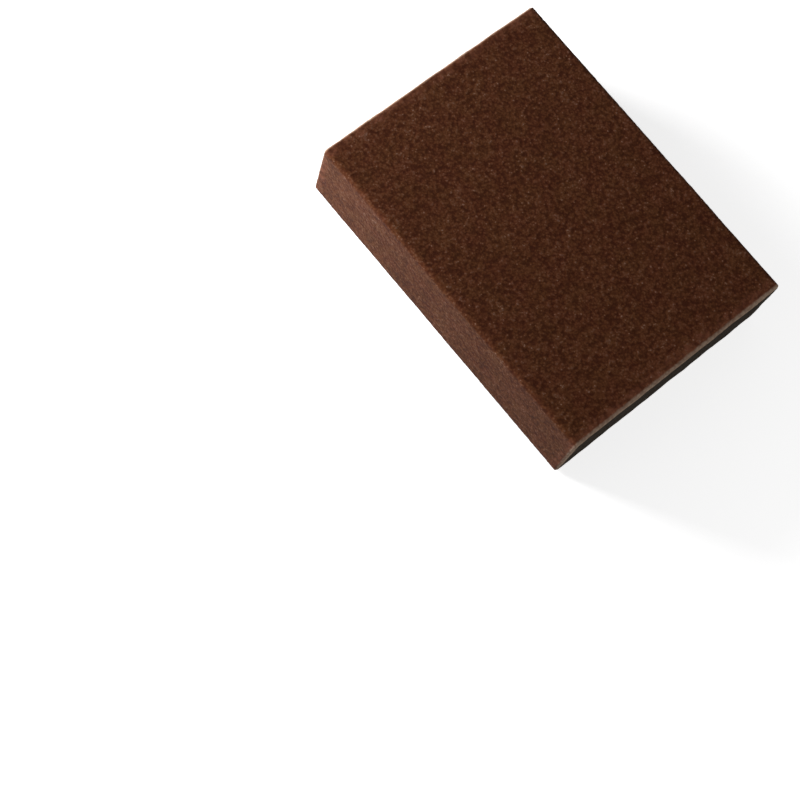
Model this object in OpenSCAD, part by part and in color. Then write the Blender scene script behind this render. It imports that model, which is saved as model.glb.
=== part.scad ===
// Abrasive cleaning sponge: a block of open-cell foam with a skin of bonded grit.
// The skin wraps the four long faces. The block is cut to length through skin and foam alike,
// so each short end is a flat cut that shows the bare foam inside a thin, softened rim of skin.
// Sizes are in millimetres. X runs along the block, Y across it and Z up.
// The origin is the centre of the bottom face.

/* [Block] */
// Length between the two cut ends
block_length = 100; // [60:1:160]
// Width across the broad faces, over the grit coat
block_width = 73; // [40:1:120]
// Thickness between the broad faces, over the grit coat
block_thickness = 24; // [14:0.5:50]

/* [Foam] */
// Radius of the foam's four long edges, under the grit coat
foam_edge_radius = 0.7; // [0.2:0.1:4]

/* [Grit coat] */
// Thickness of the skin of grit and resin
coat_thickness = 0.8; // [0.4:0.1:1.5]
// Radius of the softened rim round each cut end
cut_rim_radius = 0.6; // [0.2:0.1:3]

/* [Hidden] */

// Facets of a full turn of an edge
$fn = 64;

// The foam fills the space inside the coat
foam_width = block_width - 2 * coat_thickness;
foam_thickness = block_thickness - 2 * coat_thickness;

// The coat is as thick round the foam's long edges as on its faces
coat_edge_radius = foam_edge_radius + coat_thickness;

// A rectangle centred on the origin, with its corners rounded by true arcs
module rounded_rectangle(width, height, radius) {
    square([width - 2 * radius, height], center = true);
    square([width, height - 2 * radius], center = true);
    for (side_x = [-1, 1], side_y = [-1, 1])
        translate([side_x * (width / 2 - radius), side_y * (height / 2 - radius)])
            circle(r = radius);
}

// Runs a section across the block along its whole length, from one cut end to the other
module run_along(height = block_length) {
    translate([-height / 2, 0, 0])
        rotate([90, 0, 90])
            linear_extrude(height = height)
                children();
}

// The whole block as it is cut and handled, centred on the origin.
// It is what three outlines share: the section seen from an end, the plan and the side view.
// The first rounds the long edges, and the other two soften the rim of each cut end.
module whole_block() {
    intersection() {
        run_along()
            rounded_rectangle(block_width, block_thickness, coat_edge_radius);
        linear_extrude(height = block_thickness, center = true)
            rounded_rectangle(block_length, block_width, cut_rim_radius);
        rotate([90, 0, 0])
            linear_extrude(height = block_width, center = true)
                rounded_rectangle(block_length, block_thickness, cut_rim_radius);
    }
}

// The space inside the coat, open at both cut ends and longer than the block by a margin at each
module inside_coat(margin = 0) {
    run_along(block_length + 2 * margin)
        rounded_rectangle(foam_width, foam_thickness, foam_edge_radius);
}

// Lifts what is centred on the origin until it stands on its bottom face
module stand() {
    translate([0, 0, block_thickness / 2])
        children();
}

module foam_core() {
    color("#3c3935")
        stand()
            intersection() {
                whole_block();
                inside_coat();
            }
}

module abrasive_coat() {
    // The tunnel for the foam is cut this much past each end
    overcut = 1;

    color("#4a2a20")
        stand()
            difference() {
                whole_block();
                inside_coat(overcut);
            }
}

foam_core();
abrasive_coat();
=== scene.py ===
"""Dresses an abrasive cleaning sponge: a block of foam in a skin of bonded grit, cut off bare at both ends.

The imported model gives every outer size. The two pieces made here stand for its two solids: the
grit coat, a band round the four long faces, and the foam core that shows at the cut ends.
Lengths are in metres.
"""

import logging
import math
from collections.abc import Callable
from dataclasses import dataclass, field, replace
from enum import Enum

import bpy
import numpy as np
from mathutils import Matrix, Vector


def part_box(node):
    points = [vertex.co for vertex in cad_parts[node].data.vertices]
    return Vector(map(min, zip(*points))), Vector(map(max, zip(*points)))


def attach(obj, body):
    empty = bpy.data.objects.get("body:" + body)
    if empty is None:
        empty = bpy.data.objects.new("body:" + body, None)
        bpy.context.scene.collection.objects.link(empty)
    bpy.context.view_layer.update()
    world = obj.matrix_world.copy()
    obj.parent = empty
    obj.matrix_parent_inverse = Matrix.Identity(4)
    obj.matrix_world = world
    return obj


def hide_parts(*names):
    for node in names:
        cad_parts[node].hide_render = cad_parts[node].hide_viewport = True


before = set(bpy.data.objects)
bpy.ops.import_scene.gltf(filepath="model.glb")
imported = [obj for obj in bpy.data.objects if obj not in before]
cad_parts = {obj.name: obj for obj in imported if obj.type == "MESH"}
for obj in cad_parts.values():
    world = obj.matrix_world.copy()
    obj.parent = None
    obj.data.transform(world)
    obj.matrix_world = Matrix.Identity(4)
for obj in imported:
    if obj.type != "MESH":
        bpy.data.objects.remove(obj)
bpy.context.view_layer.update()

LOG = logging.getLogger("sponge")
MM = 0.001
BODY = "root"
BAKE_MAP = "OFBake"
NEAR = 0.01 * MM  # Places that are closer than this count as one.

Colour = tuple[float, float, float]
Place = tuple[float, float, float]
Span = tuple[float, float]
Rule = Callable[[np.ndarray, np.ndarray], np.ndarray]


class Node(Enum):
    """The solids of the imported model."""

    COAT = "abrasive_coat"
    CORE = "foam_core"


class Slot(Enum):
    """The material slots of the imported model's record."""

    GRIT = "grit_coat"
    FOAM = "foam"


class Lump(Enum):
    """Kinds of relief. A swell has no pattern: it moves the whole surface by its height."""

    WAVES = ("CLOUDS", 1.0, (1.0, 0.0))
    GRAINS = ("VORONOI", 0.0, (1.0, 0.0))
    PITS = ("VORONOI", 0.9, (1.0, 0.0))
    CELLS = ("VORONOI", 0.0, (-1.0, 1.0))
    SWELL = (None, 0.0, (1.0, 0.0))

    def __init__(self, pattern: str | None, plain: float, weights: Span) -> None:
        """Names what a kind's value holds.

        Args:
            pattern: The texture's type, or nothing.
            plain: The pattern's value where the surface stays as it is.
            weights: How much the nearest and the second nearest grain's middle count.
        """
        self.pattern = pattern
        self.plain = plain
        self.weights = weights

    def texture(self, width: float) -> bpy.types.Texture | None:
        """Makes the pattern.

        Args:
            width: The width of one lump.

        Returns:
            The texture, or nothing for a swell.
        """
        if not self.pattern:
            return None
        texture = bpy.data.textures.new(self.name.lower(), self.pattern)
        texture.noise_scale = width
        if self.pattern == "VORONOI":
            texture.weight_1, texture.weight_2 = self.weights
        return texture


@dataclass(frozen=True)
class Relief:
    """One layer of unevenness: its kind, the width of a lump, its height and the axis that it moves along."""

    lump: Lump
    width: float
    height: float
    axis: str = "NORMAL"


class Depth(Enum):
    """Vertex attributes that hold how far a vertex stands out of the plain surface, in metres."""

    GRIT = "grit_relief"
    FOAM = "pore_relief"


@dataclass(frozen=True)
class Section:
    """A rounded rectangle across the block, which all its long faces follow."""

    width: float
    height: float
    radius: float
    middle: float

    @property
    def quarter(self) -> float:
        """The length of a quarter of the outline."""
        return (self.width + self.height) / 2 - 2 * self.radius + self.radius * math.pi / 2

    def beyond(self, places: np.ndarray) -> np.ndarray:
        """Measures how far places lie past the centres of the corner arcs.

        Args:
            places: One row of x, y and z for each place.

        Returns:
            One row of a sideways and an upward distance for each place.
        """
        offset = np.abs(places[:, 1:] - (0, self.middle))
        return offset - (self.width / 2 - self.radius, self.height / 2 - self.radius)

    def depth(self, places: np.ndarray) -> np.ndarray:
        """Measures how deep places lie under the outline, negative outside it.

        Args:
            places: One row of x, y and z for each place.

        Returns:
            One depth for each place.
        """
        beyond = self.beyond(places)
        outside = np.hypot(*np.maximum(beyond, 0).T)
        return self.radius - outside - np.minimum(beyond.max(axis=1), 0)

    def run(self, places: np.ndarray) -> np.ndarray:
        """Measures how far round the outline places lie, from the middle of the back face.

        Args:
            places: One row of x, y and z for each place.

        Returns:
            One distance for each place.
        """
        side, up = self.beyond(places).T
        rise = np.abs(places[:, 2] - self.middle)
        across = np.abs(places[:, 1])
        flat = self.height / 2 - self.radius
        corner = flat + self.radius * np.arctan2(up, side)
        top = self.quarter - across
        run = np.select([(side > 0) & (up > 0), up >= side], [corner, top], rise)
        back, above = places[:, 1] > 0, places[:, 2] >= self.middle
        turns = [above & back, above & ~back, ~above & ~back]
        return np.select(turns, [run, 2 * self.quarter - run, 2 * self.quarter + run], 4 * self.quarter - run)


@dataclass(frozen=True)
class BlockSize:
    """The block's outer size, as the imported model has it, and the shape of its edges.

    The block stands on z = 0, centred on the other two axes, with its length along X.
    """

    length: float
    width: float
    thickness: float
    coat: float
    long_edge_radius: float = 1.5 * MM
    rim_radius: float = 0.6 * MM

    @classmethod
    def from_frame(cls) -> "BlockSize":
        """Reads the outer size and the coat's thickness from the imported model's nodes.

        Returns:
            The size.
        """
        outer_low, outer_high = (Vector(corner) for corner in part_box(Node.COAT.value))
        inner_low, _ = (Vector(corner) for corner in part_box(Node.CORE.value))
        size = outer_high - outer_low
        return cls(size.x, size.y, size.z, inner_low.y - outer_low.y)

    def section(self, inset: float = 0.0) -> Section:
        """Gives the block's section.

        Args:
            inset: How far inside the block's own outline it runs.

        Returns:
            The section.
        """
        width, height = self.width - 2 * inset, self.thickness - 2 * inset
        return Section(width, height, self.long_edge_radius - inset, self.thickness / 2)


@dataclass(frozen=True)
class Cut:
    """How a blade leaves the two ends: soft waves, and a top edge that stands out at the end at +X."""

    wave: Relief = Relief(Lump.WAVES, 7 * MM, 0.35 * MM, "X")
    lean: Relief = Relief(Lump.SWELL, 0.0, 0.4 * MM, "X")
    reach: float = 3 * MM


class Modeller:
    """Makes and shapes one mesh with Blender's own operators, the way it is done by hand."""

    GROUP_STEPS = 32

    def __init__(self, name: str, low: Vector, high: Vector) -> None:
        """Adds a block between two corners, with its place in its mesh.

        Args:
            name: The piece's name.
            low: The block's lowest corner.
            high: The block's highest corner.
        """
        bpy.ops.object.select_all(action="DESELECT")
        bpy.ops.mesh.primitive_cube_add(size=1, location=(low + high) / 2, scale=high - low)
        self.piece = bpy.context.active_object
        self.piece.name = self.piece.data.name = name
        bpy.ops.object.transform_apply(location=True, rotation=True, scale=True)

    @property
    def mesh(self) -> bpy.types.Mesh:
        """The piece's mesh."""
        return self.piece.data

    def places(self) -> np.ndarray:
        """Reads where each vertex is."""
        return read_numbers(self.mesh.vertices, "co", 3)

    def pick_edges(self, rule: Rule) -> None:
        """Goes into edit mode with just some edges selected.

        Args:
            rule: Takes the edges' first and second ends and says which edges to select.
        """
        places = self.places()
        ends = read_numbers(self.mesh.edges, "vertices", 2, np.int32)
        chosen = rule(places[ends[:, 0]], places[ends[:, 1]])
        self._edit_with(self.mesh.edges, chosen, (False, True, False))

    def pick_faces(self, rule: Rule) -> None:
        """Goes into edit mode with just some faces selected.

        Args:
            rule: Takes the faces' middles and normals and says which faces to select.
        """
        middles = read_numbers(self.mesh.polygons, "center", 3)
        normals = read_numbers(self.mesh.polygons, "normal", 3)
        self._edit_with(self.mesh.polygons, rule(middles, normals), (False, False, True))

    def _edit_with(
        self, items: bpy.types.bpy_prop_collection, chosen: np.ndarray, mode: tuple[bool, bool, bool]
    ) -> None:
        """Selects the chosen items and nothing else, then opens the mesh for editing.

        Args:
            items: The mesh's edges or faces.
            chosen: Which of them to select.
            mode: Whether vertices, edges and faces can be selected.
        """
        for every in (self.mesh.vertices, self.mesh.edges, self.mesh.polygons):
            every.foreach_set("select", np.zeros(len(every), bool))
        items.foreach_set("select", chosen)
        bpy.context.tool_settings.mesh_select_mode = mode
        bpy.ops.object.mode_set(mode="EDIT")

    def done(self) -> None:
        """Closes the mesh after an edit."""
        bpy.ops.object.mode_set(mode="OBJECT")

    def split_edges(self, axis: str, span: float, step: float, rule: Rule | None = None) -> None:
        """Cuts the edges along an axis into steps, in two rounds, with rows of quads between them.

        Args:
            axis: X, Y or Z.
            span: How long the edges are before they are cut.
            step: About how long they become.
            rule: A further test that an edge has to pass.
        """
        column = "XYZ".index(axis)
        coarse = max(2, round(math.sqrt(span / step)))
        fine = max(2, round(span / step / coarse))
        for length, parts in ((span, coarse), (span / coarse, fine)):

            def along(first: np.ndarray, second: np.ndarray, shortest: float = length / 2) -> np.ndarray:
                """Says which edges run along the axis, are long enough and pass the further test.

                Args:
                    first: The edges' first ends.
                    second: Their second ends.
                    shortest: The length that they have to pass.

                Returns:
                    A yes or no for each edge.
                """
                reach = np.abs(second - first)
                others = np.delete(reach, column, axis=1).max(axis=1)
                chosen = (reach[:, column] > shortest) & (others < NEAR)
                return chosen & rule(first, second) if rule else chosen

            self.pick_edges(along)
            bpy.ops.mesh.subdivide(number_cuts=parts - 1)
            self.done()

    def hold(self, name: str, shares: np.ndarray) -> str:
        """Makes a vertex group.

        Args:
            name: The group's name.
            shares: How strongly each vertex belongs to it, from 0 to 1.

        Returns:
            The name.
        """
        group = self.piece.vertex_groups.new(name=name)
        steps = np.round(np.clip(shares, 0, 1) * self.GROUP_STEPS).astype(int)
        for step in range(1, self.GROUP_STEPS + 1):
            group.add(np.flatnonzero(steps == step).tolist(), step / self.GROUP_STEPS, "REPLACE")
        return name

    def displace(self, relief: Relief, group: str) -> None:
        """Raises the surface with a pattern, and applies it.

        Args:
            relief: What to raise.
            group: The vertex group that the relief is held to.
        """
        modifier = self.piece.modifiers.new(relief.lump.name.lower(), "DISPLACE")
        modifier.texture = relief.lump.texture(relief.width)
        modifier.texture_coords = "LOCAL"
        modifier.direction = relief.axis
        modifier.strength = relief.height
        modifier.mid_level = relief.lump.plain
        modifier.vertex_group = group
        bpy.ops.object.modifier_apply(modifier=modifier.name)

    def cut_unevenly(self, size: BlockSize, cut: Cut) -> None:
        """Makes both ends as a blade leaves them: a little wavy, and the end at +X out of square.

        Args:
            size: The block's size.
            cut: How uneven the ends are.
        """
        along, _, up = self.places().T
        for name, side in (("right end", 1), ("left end", -1)):
            share = np.clip((side * along - size.length / 2) / cut.reach + 1, 0, 1)
            self.displace(replace(cut.wave, height=side * cut.wave.height), self.hold(name, share))
            if side > 0:
                self.displace(cut.lean, self.hold("lean", share * up / size.thickness))

    def keep_depth(self, attribute: Depth, before: np.ndarray, normals: np.ndarray) -> None:
        """Stores how far each vertex has moved along its old normal.

        Args:
            attribute: The attribute to write.
            before: Where the vertices were.
            normals: The normals that they had.
        """
        moved = ((self.places() - before) * normals).sum(axis=1)
        layer = self.mesh.attributes.new(attribute.value, "FLOAT", "POINT")
        layer.data.foreach_set("value", moved.astype(np.float32))

    def shade_smooth(self) -> None:
        """Shades the faces as one soft surface."""
        self.mesh.polygons.foreach_set("use_smooth", np.ones(len(self.mesh.polygons), bool))


def read_numbers(
    items: bpy.types.bpy_prop_collection, name: str, width: int, kind: type = np.float64
) -> np.ndarray:
    """Reads one property of every item.

    Args:
        items: A mesh's vertices, edges, loops or polygons.
        name: The property.
        width: How many numbers it holds.
        kind: The numbers' type.

    Returns:
        One row for each item.
    """
    found = np.empty(len(items) * width, np.float32 if kind is np.float64 else kind)
    items.foreach_get(name, found)
    return found.reshape(-1, width).astype(kind)


@dataclass
class AbrasiveCoat:
    """The skin of grit and resin: a band round the block with rough outer faces and softened cut rims."""

    size: BlockSize
    grain_step: float = 0.46 * MM
    arc_steps: int = 5
    rim_steps: int = 3
    cut: Cut = Cut()
    wave: Relief = Relief(Lump.WAVES, 14 * MM, 0.15 * MM)
    reliefs: tuple[Relief, ...] = (
        Relief(Lump.PITS, 1.3 * MM, 0.08 * MM),
        Relief(Lump.GRAINS, 0.8 * MM, -0.08 * MM),
        Relief(Lump.GRAINS, 0.45 * MM, -0.05 * MM),
    )

    def build(self) -> bpy.types.Object:
        """Models the coat.

        Returns:
            The finished piece, without its finish.
        """
        model = self._band()
        self._lay_grid(model)
        self._unroll(model)
        self._roughen(model)
        model.shade_smooth()
        return model.piece

    def _band(self) -> Modeller:
        """Shapes the smooth band: a block with rounded long edges and rims, hollowed from end to end.

        Returns:
            The coat's modeller.
        """
        size = self.size
        half = Vector((size.length / 2, size.width / 2, 0))
        model = Modeller("abrasive_coat_skin", -half, half + Vector((0, 0, size.thickness)))
        model.pick_edges(lambda first, second: np.abs(first[:, 0] - second[:, 0]) > size.length / 2)
        bpy.ops.mesh.bevel(offset=size.long_edge_radius, segments=self.arc_steps, affect="EDGES")
        model.done()

        def is_end(middles: np.ndarray, normals: np.ndarray) -> np.ndarray:
            """Says which faces lie flat in the two cuts."""
            return (np.abs(normals[:, 0]) > 0.99) & (np.abs(middles[:, 0]) > size.length / 2 - NEAR)

        model.pick_faces(is_end)
        bpy.ops.mesh.region_to_loop()
        bpy.ops.mesh.bevel(offset=size.rim_radius, segments=self.rim_steps, affect="EDGES")
        model.done()

        model.pick_faces(is_end)
        bpy.ops.mesh.inset(thickness=size.coat - size.rim_radius)
        bpy.ops.mesh.delete(type="FACE")
        bpy.context.tool_settings.mesh_select_mode = (False, True, False)
        bpy.ops.mesh.select_all(action="DESELECT")
        bpy.ops.mesh.select_non_manifold()
        bpy.ops.mesh.bridge_edge_loops()
        bpy.ops.mesh.select_all(action="SELECT")
        bpy.ops.mesh.normals_make_consistent(inside=False)
        model.done()
        return model

    def _lay_grid(self, model: Modeller) -> None:
        """Divides the outer faces into a grid about one grain wide, and leaves the inner wall in long strips.

        Args:
            model: The coat's modeller.
        """
        size, section = self.size, self.size.section()

        def on_skin(first: np.ndarray, second: np.ndarray) -> np.ndarray:
            """Says which edges lie on the outer faces, by both their ends."""
            return np.maximum(section.depth(first), section.depth(second)) < size.coat / 2

        model.split_edges("Y", size.width - 2 * size.long_edge_radius, self.grain_step)
        model.split_edges("Z", size.thickness - 2 * size.long_edge_radius, self.grain_step)
        model.split_edges("X", size.length - 2 * size.rim_radius, self.grain_step, on_skin)

    def _unroll(self, model: Modeller) -> None:
        """Lays the skin with its rims, and the inner wall beside it, flat on the piece's own map.

        Args:
            model: The coat's modeller.
        """
        size, section = self.size, self.size.section()
        sheet = Sheet(model.mesh)
        places = model.places()
        run, along = section.run(places), places[:, 0]
        depth = np.clip(section.depth(places), 0, size.coat)
        inner = sheet.faces_where(depth > size.coat - NEAR)
        sheet.lay(~inner, run, along + np.sign(along) * depth, 4 * section.quarter)
        sheet.lay(inner, run, along + size.length + 2 * size.coat, 4 * section.quarter)
        sheet.store(margin=0.5 * MM)

    def _roughen(self, model: Modeller) -> None:
        """Cuts the ends a little unevenly, and raises the grains within the plain outer faces.

        Args:
            model: The coat's modeller.
        """
        size = self.size
        outer = size.section().depth(model.places()) < size.coat - NEAR
        model.cut_unevenly(size, self.cut)
        skin = model.hold("skin", outer.astype(float))
        model.displace(self.wave, skin)
        before = model.places()
        normals = read_numbers(model.mesh.vertices, "normal", 3)
        for relief in self.reliefs:
            model.displace(relief, skin)
        model.keep_depth(Depth.GRIT, before, normals)


@dataclass
class FoamCore:
    """The foam block inside the coat, with open cells on its two cut ends."""

    size: BlockSize
    cell_step: float = 0.25 * MM
    sunk: float = 0.1 * MM
    cut: Cut = Cut()
    swell: Relief = Relief(Lump.SWELL, 0.0, 0.25 * MM, "X")
    reliefs: tuple[Relief, ...] = (
        Relief(Lump.CELLS, 1.2 * MM, -0.55 * MM),
        Relief(Lump.CELLS, 0.7 * MM, -0.35 * MM),
    )

    def build(self) -> bpy.types.Object:
        """Models the foam.

        Returns:
            The finished piece, without its finish.
        """
        size, section = self.size, self.size.section(self.size.coat)
        half = Vector((size.length / 2, section.width / 2, section.height / 2))
        middle = Vector((0, 0, section.middle))
        model = Modeller("foam_core_block", middle - half, middle + half)
        model.split_edges("Y", section.width, self.cell_step)
        model.split_edges("Z", section.height, self.cell_step)
        self._round_long_edges(model, section)
        self._unroll(model, section)
        self._open_cells(model, section)
        model.shade_smooth()
        return model.piece

    def _round_long_edges(self, model: Modeller, section: Section) -> None:
        """Draws the corners of the section in to the arc that the coat's inner wall has.

        Args:
            model: The foam's modeller.
            section: The foam's section.
        """
        places = model.places()
        beyond = np.maximum(section.beyond(places), 0)
        reach = np.hypot(*beyond.T)
        pull = np.where(reach > section.radius, 1 - section.radius / np.maximum(reach, NEAR), 0)
        away = np.sign(places[:, 1:] - (0, section.middle))
        places[:, 1:] -= away * beyond * pull[:, None]
        model.mesh.vertices.foreach_set("co", places.astype(np.float32).ravel())
        model.mesh.update()

    def _unroll(self, model: Modeller, section: Section) -> None:
        """Lays the two ends large, and the long faces small above them, flat on the piece's own map.

        Args:
            model: The foam's modeller.
            section: The foam's section.
        """
        sheet = Sheet(model.mesh)
        places = model.places()
        along, across, up = places.T
        side_scale = section.width / (4 * section.quarter)
        gap = MM
        for end, shift in ((-1, 0.0), (1, section.height + gap)):
            sheet.lay(sheet.faces_where(along * end > self.size.length / 2 - NEAR), across, up + shift)
        round_it = section.run(places) * side_scale - section.width / 2
        shift = section.middle + 1.5 * section.height + 2 * gap + self.size.length / 2 * side_scale
        sheet.lay(~sheet.laid, round_it, along * side_scale + shift, section.width)
        sheet.store(margin=0.3 * MM)

    def _open_cells(self, model: Modeller, section: Section) -> None:
        """Lets the two cut ends swell, and presses open cells into all but a thin line next to the coat.

        Args:
            model: The foam's modeller.
            section: The foam's section.
        """
        depth, along = section.depth(model.places()), model.places()[:, 0]
        inner = depth > self.sunk
        model.cut_unevenly(self.size, self.cut)
        swollen = 1 - (1 - np.clip(2 * depth / section.height, 0, 1)) ** 2
        for name, side in (("right swell", 1), ("left swell", -1)):
            group = model.hold(name, swollen * (side * along > 0))
            model.displace(replace(self.swell, height=side * self.swell.height), group)
        before = model.places()
        normals = read_numbers(model.mesh.vertices, "normal", 3)
        ends = model.hold("cut ends", inner.astype(float))
        for relief in self.reliefs:
            model.displace(relief, ends)
        model.keep_depth(Depth.FOAM, before, normals)


class Sheet:
    """The flat layout of a piece's faces, for the piece's own map."""

    def __init__(self, mesh: bpy.types.Mesh) -> None:
        """Starts with nothing laid out.

        Args:
            mesh: The piece's mesh, before its relief is raised.
        """
        self.mesh = mesh
        self.corners = read_numbers(mesh.loops, "vertex_index", 1, np.int32)[:, 0]
        sizes = read_numbers(mesh.polygons, "loop_total", 1, np.int32)[:, 0]
        self.starts = read_numbers(mesh.polygons, "loop_start", 1, np.int32)[:, 0]
        self.faces = np.repeat(np.arange(len(sizes)), sizes)
        self.flat = np.zeros((len(self.corners), 2))
        self.laid = np.zeros(len(sizes), bool)

    def faces_where(self, chosen: np.ndarray) -> np.ndarray:
        """Finds the faces whose vertices are all chosen."""
        return np.logical_and.reduceat(chosen[self.corners], self.starts)

    def lay(self, faces: np.ndarray, across: np.ndarray, up: np.ndarray, turn: float = math.inf) -> None:
        """Lays faces out.

        Args:
            faces: Which faces.
            across: Each vertex's place across the sheet.
            up: Each vertex's place up the sheet.
            turn: The length after which the first coordinate meets itself again.
        """
        places = np.stack([across, up], axis=1)[self.corners]
        highest = np.maximum.reduceat(places[:, 0], self.starts)[self.faces]
        places[:, 0] += np.where(highest - places[:, 0] > turn / 2, turn, 0)
        mine = faces[self.faces]
        self.flat[mine] = places[mine]
        self.laid |= faces

    def store(self, margin: float) -> None:
        """Writes the layout to the mesh, scaled to the unit square.

        Args:
            margin: The empty border, in the layout's own metres.
        """
        low = self.flat.min(axis=0) - margin
        span = (self.flat.max(axis=0) + margin - low).max()
        layer = self.mesh.uv_layers.get(BAKE_MAP) or self.mesh.uv_layers.new(name=BAKE_MAP)
        layer.uv.foreach_set("vector", ((self.flat - low) / span).astype(np.float32).ravel())


@dataclass(frozen=True)
class Drift:
    """Soft noise that wanders between two values, in patches of one width.

    The plain noise lies at about 0.2 to 0.8. Where it is as low as span[0] it gives first, and where it
    is as high as span[1] it gives last. Detail is how much finer noise is added.
    """

    width: float
    first: float
    last: float
    detail: float = 3.0
    span: Span = (0.3, 0.7)


class NodeTree:
    """A short way to place and link shader nodes."""

    def __init__(self, tree: bpy.types.NodeTree) -> None:
        """Clears the tree.

        Args:
            tree: A material's, world's or group's node tree.
        """
        self.tree = tree
        tree.nodes.clear()

    def add(self, kind: str, inputs: dict | None = None, **settings: object) -> bpy.types.Node:
        """Places a node.

        Args:
            kind: The node's type name without its ShaderNode part.
            inputs: Socket name or number to a value or another node's output.
            settings: The node's own properties.

        Returns:
            The node.
        """
        node = self.tree.nodes.new(kind if kind.startswith("NodeGroup") else "ShaderNode" + kind)
        for name, value in settings.items():
            setattr(node, name, value)
        for socket, value in (inputs or {}).items():
            self._feed(node.inputs[socket], value)
        return node

    def _feed(self, socket: bpy.types.NodeSocket, value: object) -> None:
        """Links a socket, or sets it to a number, a colour or a vector.

        Args:
            socket: The node's input.
            value: Another node's output, or the value to set.
        """
        if isinstance(value, bpy.types.NodeSocket):
            self.tree.links.new(value, socket)
        elif socket.type == "RGBA":
            socket.default_value = (*value, 1)
        else:
            socket.default_value = value

    def math(self, operation: str, first: object, second: object = 0.0) -> bpy.types.NodeSocket:
        """Works out one sum.

        Args:
            operation: The Math node's operation.
            first: A number or a socket.
            second: A number or a socket.

        Returns:
            The result's socket.
        """
        return self.add("Math", {0: first, 1: second}, operation=operation).outputs[0]

    def mix(self, share: object, first: object, second: object) -> bpy.types.NodeSocket:
        """Mixes two colours, by the numbers of the Mix node's colour sockets.

        Args:
            share: How much of the second shows, as a number or a socket.
            first: A colour or a socket.
            second: A colour or a socket.

        Returns:
            The mixed colour's socket.
        """
        return self.add("Mix", {0: share, 6: first, 7: second}, data_type="RGBA").outputs[2]

    def ramp(
        self, value: bpy.types.NodeSocket, low: float, high: float, first: float = 0.0, last: float = 1.0
    ) -> bpy.types.NodeSocket:
        """Maps a value from one range to another, smoothly and held inside it.

        Args:
            value: The socket to map.
            low: The value that gives first.
            high: The value that gives last.
            first: The result at low.
            last: The result at high.

        Returns:
            The mapped value's socket.
        """
        inputs = {"Value": value, "From Min": low, "From Max": high, "To Min": first, "To Max": last}
        return self.add("MapRange", inputs, interpolation_type="SMOOTHSTEP").outputs[0]

    def drift(self, place: bpy.types.NodeSocket, drift: Drift) -> bpy.types.NodeSocket:
        """Makes soft noise.

        Args:
            place: The coordinates.
            drift: How the noise wanders.

        Returns:
            The result's socket.
        """
        noise = self.add("TexNoise", {"Vector": place, "Scale": 1 / drift.width, "Detail": drift.detail})
        return self.ramp(noise.outputs["Fac"], *drift.span, drift.first, drift.last)


class GrainPattern:
    """A shader node group for packed grains or cells: a height and a random tone for each one.

    BEND is how far the grains are pushed out of shape. REACH is how far from its middle a grain ends,
    in widths of a grain.
    """

    NAME = "packed_grains"
    BEND = 0.35 * MM
    REACH = 0.8

    @classmethod
    def group(cls) -> bpy.types.NodeTree:
        """Gives the group, built once.

        Returns:
            The group.
        """
        found = bpy.data.node_groups.get(cls.NAME)
        if found:
            return found
        group = bpy.data.node_groups.new(cls.NAME, "ShaderNodeTree")
        tree = NodeTree(group)
        for name, way, kind in (
            ("Vector", "INPUT", "NodeSocketVector"),
            ("Per Metre", "INPUT", "NodeSocketFloat"),
            ("Height", "OUTPUT", "NodeSocketFloat"),
            ("Tone", "OUTPUT", "NodeSocketFloat"),
        ):
            group.interface.new_socket(name, in_out=way, socket_type=kind)
        given = tree.add("NodeGroupInput")
        place, density = given.outputs["Vector"], given.outputs["Per Metre"]
        wander = tree.add("TexNoise", {"Vector": place, "Scale": density})
        shift = tree.add("VectorMath", {0: wander.outputs["Color"], "Scale": cls.BEND}, operation="SCALE")
        bent = tree.add("VectorMath", {0: place, 1: shift.outputs[0]}, operation="ADD")
        grains = tree.add("TexVoronoi", {"Vector": bent.outputs[0], "Scale": density})
        height = tree.ramp(grains.outputs["Distance"], 0.0, cls.REACH, 1.0, 0.0)
        tone = tree.add("SeparateColor", {"Color": grains.outputs["Color"]}).outputs[0]
        tree.add("NodeGroupOutput", {"Height": height, "Tone": tone})
        return group

    @classmethod
    def place(cls, tree: NodeTree, place: bpy.types.NodeSocket, width: float) -> bpy.types.Node:
        """Places the group in a material.

        Args:
            tree: The material's nodes.
            place: The coordinates.
            width: The width of one grain.

        Returns:
            The group's node.
        """
        return tree.add("Group", {"Vector": place, "Per Metre": 1 / width}, node_tree=cls.group())


def start_material(name: str) -> tuple[bpy.types.Material, NodeTree]:
    """Starts a node-based material.

    Args:
        name: The material's name.

    Returns:
        The material and its empty tree.
    """
    material = bpy.data.materials.new(name)
    material.use_nodes = True
    return material, NodeTree(material.node_tree)


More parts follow.
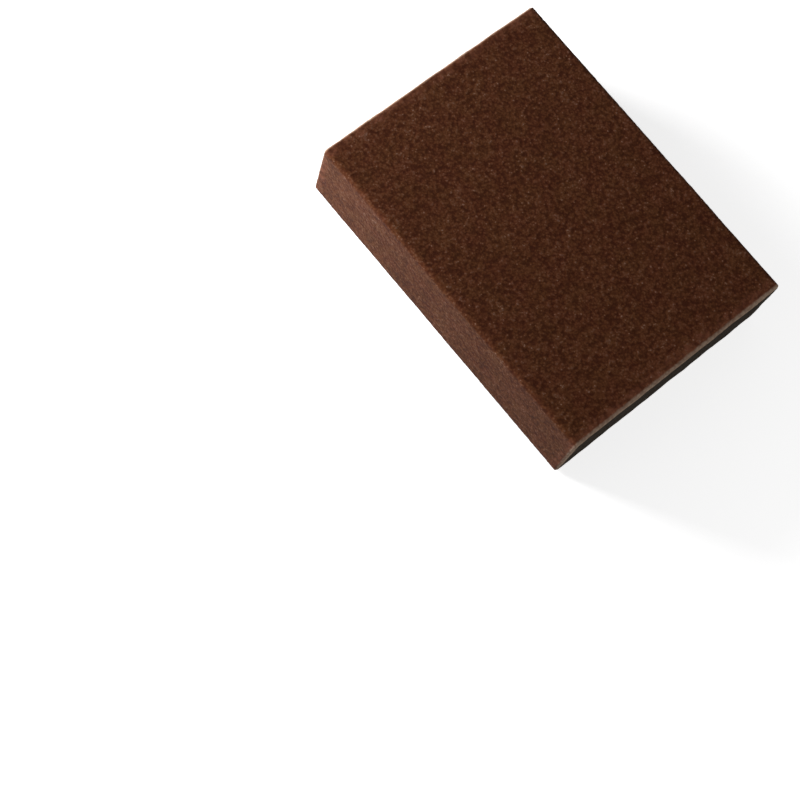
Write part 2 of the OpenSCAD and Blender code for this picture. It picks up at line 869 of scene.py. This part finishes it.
@dataclass(frozen=True)
class GritFinish:
    """Brown grit bonded with resin: dark pits with painted shade in the hollows, paler grains with painted
    light on the raised ones, a few painted glints, a redder band by each cut that is made paler there as
    painted light, and a pale cut rim.

    The band and the rim start as far from the cut as their first number says and are full at the second.
    """

    half_length: float
    # The pit colour is partly the dark resin between grains and partly painted shade in the hollows.
    pit_and_shade: Colour = (0.037, 0.0079, 0.0011)
    ground: Colour = (0.086, 0.0272, 0.0083)
    # The crown colour is partly paler grain and partly painted light on the raised grains.
    crown_and_light: Colour = (0.102, 0.047, 0.029)
    # Painted glint: a pale highlight colour put on a few grains.
    painted_glint: Colour = (0.240, 0.140, 0.100)
    # Redder than the coat, and paler as painted light on the cut ends.
    lit_cut_band: Colour = (0.165, 0.055, 0.031)
    cut_rim: Colour = (0.35, 0.25, 0.18)
    coarse: float = 0.75 * MM
    fine: float = 0.36 * MM
    relief_span: Span = (-0.16 * MM, -0.04 * MM)
    relief_shading_share: float = 0.4
    coarse_share: float = 0.3
    fine_share: float = 0.15
    blotches: tuple[Drift, ...] = (Drift(11 * MM, -0.03, 0.03), Drift(2.2 * MM, -0.04, 0.11))
    dark_span: Span = (0.12, 0.62)
    pale_span: Span = (0.45, 0.85)
    glint_tones: Span = (0.86, 0.98)
    glint_span: Span = (0.4, 0.7)
    glint_share: float = 0.55
    hue: Drift = Drift(6 * MM, 0.495, 0.502, detail=2.0)
    roughness: Span = (0.8, 1.0)
    band: Span = (3.6 * MM, 1.0 * MM)
    band_edge: Drift = Drift(1.6 * MM, -1.0 * MM, 1.0 * MM, span=(0.25, 0.75))
    band_share: Drift = Drift(3 * MM, 0.1, 0.5, detail=2.0, span=(0.4, 0.65))
    rim: Span = (1.0 * MM, 0.1 * MM)
    rim_edge: Drift = Drift(1.6 * MM, -0.15 * MM, 0.1 * MM, span=(0.25, 0.75))
    rim_share: Drift = Drift(0.9 * MM, 0.6, 0.95, span=(0.35, 0.65))

    def material(self) -> bpy.types.Material:
        """Builds the material.

        Returns:
            The material.
        """
        material, tree = start_material("bonded_grit")
        place = tree.add("TexCoord").outputs["Object"]
        coarse = GrainPattern.place(tree, place, self.coarse)
        fine = GrainPattern.place(tree, place, self.fine)
        colour = self._grains(tree, place, coarse, fine)
        colour = self._cut_ends(tree, place, colour)
        rough = tree.ramp(fine.outputs["Tone"], 0.0, 1.0, *self.roughness)
        lumps = tree.math("ADD", tree.math("MULTIPLY", coarse.outputs["Height"], 2.0), fine.outputs["Height"])
        bump = tree.add("Bump", {"Height": lumps, "Distance": 0.05 * MM, "Strength": 0.4})
        shader = tree.add("BsdfPrincipled", {
            "Base Color": colour,
            "Roughness": rough,
            "Specular IOR Level": 0.1,
            "Sheen Weight": 0.02,
            "Sheen Roughness": 0.5,
            "Sheen Tint": (1.0, 0.92, 0.88),
            "Normal": bump.outputs[0],
        })
        tree.add("OutputMaterial", {"Surface": shader.outputs[0]})
        return material

    def _grains(
        self, tree: NodeTree, place: bpy.types.NodeSocket, coarse: bpy.types.Node, fine: bpy.types.Node
    ) -> bpy.types.NodeSocket:
        """Colours the pits, the ground and the crowns of the grains, with painted shade in the hollows and
        painted light on the raised grains, and a few painted glints.

        Args:
            tree: The material's nodes.
            place: The coordinates.
            coarse: The pattern of the coarse grains.
            fine: The pattern of the fine grains.

        Returns:
            The colour's socket.
        """
        raised = tree.add("Attribute", attribute_name=Depth.GRIT.value).outputs["Fac"]
        # Painted shade and light: where the relief lies deep the colour turns towards the pit colour, and
        # where it stands high it turns towards the crown colour.
        stand = tree.ramp(raised, *self.relief_span, 0.0, self.relief_shading_share)
        for grains, share in ((coarse, self.coarse_share), (fine, self.fine_share)):
            stand = tree.math("ADD", stand, tree.math("MULTIPLY", grains.outputs["Height"], share))
        for blotch in self.blotches:
            stand = tree.math("ADD", stand, tree.drift(place, blotch))
        colour = tree.mix(tree.ramp(stand, *self.dark_span), self.pit_and_shade, self.ground)
        colour = tree.mix(tree.ramp(stand, *self.pale_span), colour, self.crown_and_light)
        # Painted glints: a few fine grains that stand high are turned pale, as highlights.
        few = tree.ramp(fine.outputs["Tone"], *self.glint_tones)
        high_up = tree.ramp(stand, *self.glint_span, 0.0, self.glint_share)
        colour = tree.mix(tree.math("MULTIPLY", few, high_up), colour, self.painted_glint)
        return tree.add("HueSaturation", {"Hue": tree.drift(place, self.hue), "Color": colour}).outputs[0]

    def _cut_ends(
        self, tree: NodeTree, place: bpy.types.NodeSocket, colour: bpy.types.NodeSocket
    ) -> bpy.types.NodeSocket:
        """Turns the coat redder near the cuts, and paler there as painted light on the cut ends, and pale on
        their rims, both with a ragged edge.

        Args:
            tree: The material's nodes.
            place: The coordinates.
            colour: The coat's colour away from the cuts.

        Returns:
            The colour's socket.
        """
        along = tree.math("ABSOLUTE", tree.add("SeparateXYZ", {0: place}).outputs[0])
        # The first pass paints the redder band by each cut, made paler as painted light on the cut ends; the
        # second paints the pale rim.
        for reach, edge, share, tint in (
            (self.band, self.band_edge, self.band_share, self.lit_cut_band),
            (self.rim, self.rim_edge, self.rim_share, self.cut_rim),
        ):
            ragged = tree.math("ADD", along, tree.drift(place, edge))
            near = tree.ramp(ragged, self.half_length - reach[0], self.half_length - reach[1])
            colour = tree.mix(tree.math("MULTIPLY", near, tree.drift(place, share)), colour, tint)
        return colour


@dataclass(frozen=True)
class FoamFinish:
    """Charcoal open-cell foam, with painted shade inside its cells, and a narrow paler margin next to the
    coat.
    """

    size: BlockSize
    wall: Colour = (0.038, 0.0285, 0.020)
    # Painted shade inside the cells.
    hollow_shade: Colour = (0.005, 0.0038, 0.0028)
    pale_margin: Colour = (0.15, 0.111, 0.080)
    cell: float = 0.55 * MM
    relief_span: Span = (-0.40 * MM, -0.05 * MM)
    relief_shading_share: float = 0.6
    cell_share: float = 0.4
    blotch: Drift = Drift(5 * MM, -0.1, 0.1)
    dark_span: Span = (0.15, 0.9)
    margin: float = 1.5 * MM
    margin_edge: Drift = Drift(2.5 * MM, -0.5 * MM, 0.5 * MM, detail=4.0)
    margin_share: float = 0.5

    def material(self) -> bpy.types.Material:
        """Builds the material.

        Returns:
            The material.
        """
        material, tree = start_material("open_cell_foam")
        place = tree.add("TexCoord").outputs["Object"]
        cells = GrainPattern.place(tree, place, self.cell)
        sunk = tree.add("Attribute", attribute_name=Depth.FOAM.value).outputs["Fac"]
        # Painted shade: deep places and the middles of the cells turn towards the hollow colour.
        stand = tree.ramp(sunk, *self.relief_span, 0.0, self.relief_shading_share)
        stand = tree.math("ADD", stand, tree.ramp(cells.outputs["Height"], 0.0, 1.0, self.cell_share, 0.0))
        stand = tree.math("ADD", stand, tree.drift(place, self.blotch))
        # A paler margin next to the coat, with a ragged edge.
        pale_margin = tree.ramp(self._depth(tree, place), 0.0, self.margin, self.margin_share, 0.0)
        wall = tree.mix(pale_margin, self.wall, self.pale_margin)
        colour = tree.mix(tree.ramp(stand, *self.dark_span), self.hollow_shade, wall)
        bump = tree.add("Bump", {"Height": cells.outputs["Height"], "Distance": 0.12 * MM}, invert=True)
        shader = tree.add("BsdfPrincipled", {
            "Base Color": colour,
            "Roughness": 0.9,
            "Specular IOR Level": 0.1,
            "Normal": bump.outputs[0],
        })
        tree.add("OutputMaterial", {"Surface": shader.outputs[0]})
        return material

    def _depth(self, tree: NodeTree, place: bpy.types.NodeSocket) -> bpy.types.NodeSocket:
        """Measures how deep the foam lies under the coat, with a ragged error.

        Args:
            tree: The material's nodes.
            place: The coordinates.

        Returns:
            The depth's socket.
        """
        size = self.size
        axes = tree.add("SeparateXYZ", {0: place}).outputs
        side = tree.math("SUBTRACT", size.width / 2 - size.coat, tree.math("ABSOLUTE", axes[1]))
        up = tree.math("ABSOLUTE", tree.math("SUBTRACT", axes[2], size.thickness / 2))
        top = tree.math("SUBTRACT", size.thickness / 2 - size.coat, up)
        return tree.math("ADD", tree.math("MINIMUM", side, top), tree.drift(place, self.margin_edge))


@dataclass(frozen=True)
class Lamp:
    """A soft square lamp, turned to the middle of the floor."""

    name: str
    place: Place
    width: float
    watts: float

    def hang(self) -> None:
        """Adds the lamp."""
        light = bpy.data.lights.new(self.name, "AREA")
        light.shape = "SQUARE"
        light.size = self.width
        light.energy = self.watts
        lamp = bpy.data.objects.new(self.name, light)
        bpy.context.collection.objects.link(lamp)
        lamp.location = self.place
        lamp.rotation_euler = (-Vector(self.place)).to_track_quat("-Z", "Y").to_euler()


@dataclass
class Studio:
    """The floor, the lamps, the world and the camera.

    The camera sees the floor with a strength of white[0] as far from the middle as white_span[0], rising
    to white[1] at white_span[1]. Reflections see a strength of glow[0] up to glow_span[0] along the
    block's length, falling to glow[1] at glow_span[1].
    """

    floor_half: float = 2.0
    floor_colour: Colour = (0.8, 0.8, 0.8)
    white_span: Span = (0.10, 0.35)
    white: Span = (0.66, 1.0)
    glow_span: Span = (-0.08, 0.02)
    glow: Span = (1.5, 0.1)
    world_level: float = 0.15
    lamps: tuple[Lamp, ...] = (
        Lamp("key", (-0.31, -0.163, 0.097), 0.17, 3.3),
        Lamp("fill", (0.34, 0.06, 0.22), 0.30, 0.45),
    )
    camera_place: Vector = field(default_factory=lambda: Vector((0.08781, -0.21841, 0.49005)))
    camera_aim: Vector = field(default_factory=lambda: Vector((0.01146, -0.05893, 0.00887)))
    camera_roll: float = math.radians(25.88)
    camera_lens_mm: float = 90.4

    def build(self) -> None:
        """Sets up everything round the sponge."""
        scene = bpy.context.scene
        scene.view_settings.view_transform = "Standard"
        self._floor()
        self._world(scene)
        for lamp in self.lamps:
            lamp.hang()
        self._camera(scene)

    def _floor(self) -> None:
        """Lays a pale floor that the camera sees as white wherever no shadow falls."""
        bpy.ops.object.select_all(action="DESELECT")
        bpy.ops.mesh.primitive_plane_add(size=2 * self.floor_half, location=(0, 0, 0))
        floor = bpy.context.active_object
        floor.name = "floor"
        material, tree = start_material("floor")
        path = tree.add("LightPath").outputs
        place = tree.add("TexCoord").outputs["Object"]
        along = tree.add("SeparateXYZ", {0: place}).outputs[0]
        away = tree.add("VectorMath", {0: place}, operation="LENGTH").outputs["Value"]
        glow = tree.ramp(along, *self.glow_span, *self.glow)
        white = tree.ramp(away, *self.white_span, *self.white)
        seen = tree.math("MULTIPLY", path["Is Camera Ray"], white)
        level = tree.math("ADD", seen, tree.math("MULTIPLY", path["Is Glossy Ray"], glow))
        shader = tree.add("BsdfPrincipled", {
            "Base Color": self.floor_colour,
            "Roughness": 0.9,
            "Specular IOR Level": 0.0,
            "Emission Color": (1, 1, 1),
            "Emission Strength": level,
        })
        tree.add("OutputMaterial", {"Surface": shader.outputs[0]})
        floor.data.materials.append(material)

    def _world(self, scene: bpy.types.Scene) -> None:
        """Gives a dim even light from all round, seen by the camera as white.

        Args:
            scene: The scene to light.
        """
        world = bpy.data.worlds.new("studio")
        scene.world = world
        world.use_nodes = True
        tree = NodeTree(world.node_tree)
        seen = tree.add("LightPath").outputs["Is Camera Ray"]
        level = tree.add("MapRange", {"Value": seen, "To Min": self.world_level, "To Max": 1.0})
        light = tree.add("Background", {"Color": (1, 1, 1), "Strength": level.outputs[0]})
        tree.add("OutputWorld", {"Surface": light.outputs[0]})

    def _camera(self, scene: bpy.types.Scene) -> None:
        """Places the camera where the photograph was taken from, with its tilt about its own axis.

        Args:
            scene: The scene that takes it.
        """
        camera = bpy.data.objects.new("camera", bpy.data.cameras.new("camera"))
        bpy.context.collection.objects.link(camera)
        camera.data.sensor_width = 36
        camera.data.lens = self.camera_lens_mm
        aim = (self.camera_aim - self.camera_place).to_track_quat("-Z", "Y").to_matrix()
        turned = aim @ Matrix.Rotation(self.camera_roll, 3, "Z")
        camera.matrix_world = Matrix.Translation(self.camera_place) @ turned.to_4x4()
        camera.data.clip_start = 0.01
        camera.data.clip_end = 10
        scene.camera = camera


def register(piece: bpy.types.Object, node: Node, finish: bpy.types.Material) -> None:
    """Dresses a finished piece, lets it stand for its solid and reports it.

    Args:
        piece: The finished piece.
        node: The solid that it stands for.
        finish: Its material.
    """
    piece.data.materials.clear()
    piece.data.materials.append(finish)
    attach(piece, BODY)
    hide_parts(node.value)
    triangles = sum(len(face.vertices) - 2 for face in piece.data.polygons)
    LOG.info("%s: %d triangles, for %s", piece.name, triangles, node.value)


def main() -> None:
    """Builds the sponge and the studio round it."""
    logging.basicConfig(level=logging.INFO, format="%(name)s: %(message)s")
    size = BlockSize.from_frame()
    coat = AbrasiveCoat(size).build()
    register(coat, Node.COAT, GritFinish(size.length / 2).material())
    core = FoamCore(size).build()
    register(core, Node.CORE, FoamFinish(size).material())
    Studio().build()


if __name__ == "__main__":
    main()
